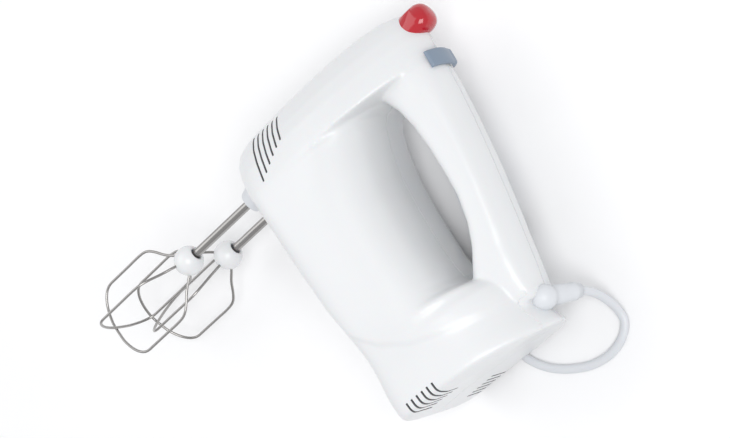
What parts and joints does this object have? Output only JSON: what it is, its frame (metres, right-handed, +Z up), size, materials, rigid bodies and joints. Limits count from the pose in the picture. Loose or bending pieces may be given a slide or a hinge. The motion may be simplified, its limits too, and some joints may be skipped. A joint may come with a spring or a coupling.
{
  "type": "electric hand mixer",
  "caption": "Electric hand mixer lying on its side, with twin wire beaters, eject button, speed slider, vented motor body and a folded flat mains cord.",
  "frame": {"origin": "centre of the underside of the box of the mixer as it lies, without its cord, on the surface it rests on", "axes": "+X towards the nose, +Y the way the beaters point, +Z up from the surface, towards the mixer's left side"},
  "size_m": [0.2125, 0.2659, 0.088],
  "materials": {
    "white_shell": "smooth semi-gloss moulded plastic",
    "zinc_steel": "zinc-plated steel",
    "red_button": "glossy translucent crimson",
    "grey_nylon": "moulded grey nylon",
    "spring_steel": "ground and drawn steel",
    "blue_grey": "satin blue-grey plastic",
    "black_plastic": "black moulded plastic",
    "board_green": "printed circuit laminate",
    "capacitor_yellow": "moulded film capacitor",
    "gear_nylon": "natural acetal",
    "lamination_steel": "stacked steel laminations",
    "copper_wire": "enamelled copper wire",
    "commutator_copper": "turned copper",
    "bronze": "sintered bronze",
    "carbon": "carbon block",
    "socket_plastic": "satin white plastic",
    "beater_chrome": "bright chromed steel",
    "hub_plastic": "white moulded plastic",
    "white_rubber": "soft white moulding",
    "lead_brown": "single insulated wire",
    "cord_white": "smooth flexible sheath",
    "tie_grey": "plain strap",
    "pin_nickel": "nickel-plated brass"
  },
  "bodies": {
    "body": {"housing_left": "white_shell", "housing_right": "white_shell", "housing_screws": "zinc_steel", "eject_spring": "spring_steel", "spring_seat": "grey_nylon", "speed_switch": "black_plastic", "circuit_board": "board_green", "capacitor": "capacitor_yellow", "gearbox_frame": "zinc_steel", "gearbox_cover": "zinc_steel", "gearbox_screws": "zinc_steel", "stator_core": "lamination_steel", "field_coils": "copper_wire", "bearing_front": "bronze", "bearing_middle": "bronze", "bearing_rear": "bronze", "bearing_bracket": "zinc_steel", "brush_bracket": "black_plastic", "brush_holders": "bronze", "carbon_brushes": "carbon", "brush_springs": "spring_steel", "socket_left": "socket_plastic", "socket_right": "socket_plastic", "strain_relief": "white_rubber", "cord_clamp": "grey_nylon", "clamp_screws": "zinc_steel", "inner_leads": "lead_brown", "cord_lead": "cord_white", "cord_hank": "cord_white", "cord_tie": "tie_grey", "cord_tail": "cord_white", "plug_body": "cord_white", "plug_pins": "pin_nickel"},
    "rotor": {"motor_shaft": "spring_steel", "worm": "spring_steel", "armature_core": "lamination_steel", "armature_winding": "copper_wire", "commutator": "commutator_copper", "fan": "gear_nylon"},
    "wheel_left": {"gear_left": "gear_nylon"},
    "wheel_right": {"gear_right": "gear_nylon"},
    "beater_left": {"beater_shaft_left": "beater_chrome", "beater_hub_left": "hub_plastic", "wire_loops_left": "beater_chrome"},
    "beater_right": {"beater_shaft_right": "beater_chrome", "beater_hub_right": "hub_plastic", "wire_loops_right": "beater_chrome"},
    "ejector": {"eject_button": "red_button", "eject_yoke": "grey_nylon"},
    "speed_control": {"speed_slider": "blue_grey", "slider_lever": "grey_nylon"}
  },
  "joints": [
    {"name": "motor_spin", "type": "hinge", "parent": "body", "child": "rotor", "pos_m": [0.062, -0.022, 0.044], "axis": [1, 0, 0], "continuous": true},
    {"name": "wheel_left_spin", "type": "hinge", "parent": "body", "child": "wheel_left", "pos_m": [0.062, 0, 0.0631], "axis": [0, -1, 0], "continuous": true},
    {"name": "wheel_right_spin", "type": "hinge", "parent": "body", "child": "wheel_right", "pos_m": [0.062, 0, 0.0249], "axis": [0, -1, 0], "continuous": true},
    {"name": "beater_left_pull", "type": "slide", "parent": "wheel_left", "child": "beater_left", "axis": [0, 1, 0], "range_m": [0, 0.047]},
    {"name": "beater_right_pull", "type": "slide", "parent": "wheel_right", "child": "beater_right", "axis": [0, 1, 0], "range_m": [0, 0.047]},
    {"name": "eject_press", "type": "slide", "parent": "body", "child": "ejector", "axis": [0, 1, 0], "range_m": [0, 0.005], "stiffness_N_per_m": 600, "springref_m": -0.006, "deforming": ["eject_spring"]},
    {"name": "speed_turn", "type": "hinge", "parent": "body", "child": "speed_control", "pos_m": [0.056, -0.1041, 0.044], "axis": [0.9962, -0.0872, 0], "range_deg": [0, 24]}
  ],
  "couplings": [
    {"joint": "wheel_left_spin", "follows": "motor_spin", "ratio": -0.033333},
    {"joint": "wheel_right_spin", "follows": "motor_spin", "ratio": 0.033333}
  ]
}
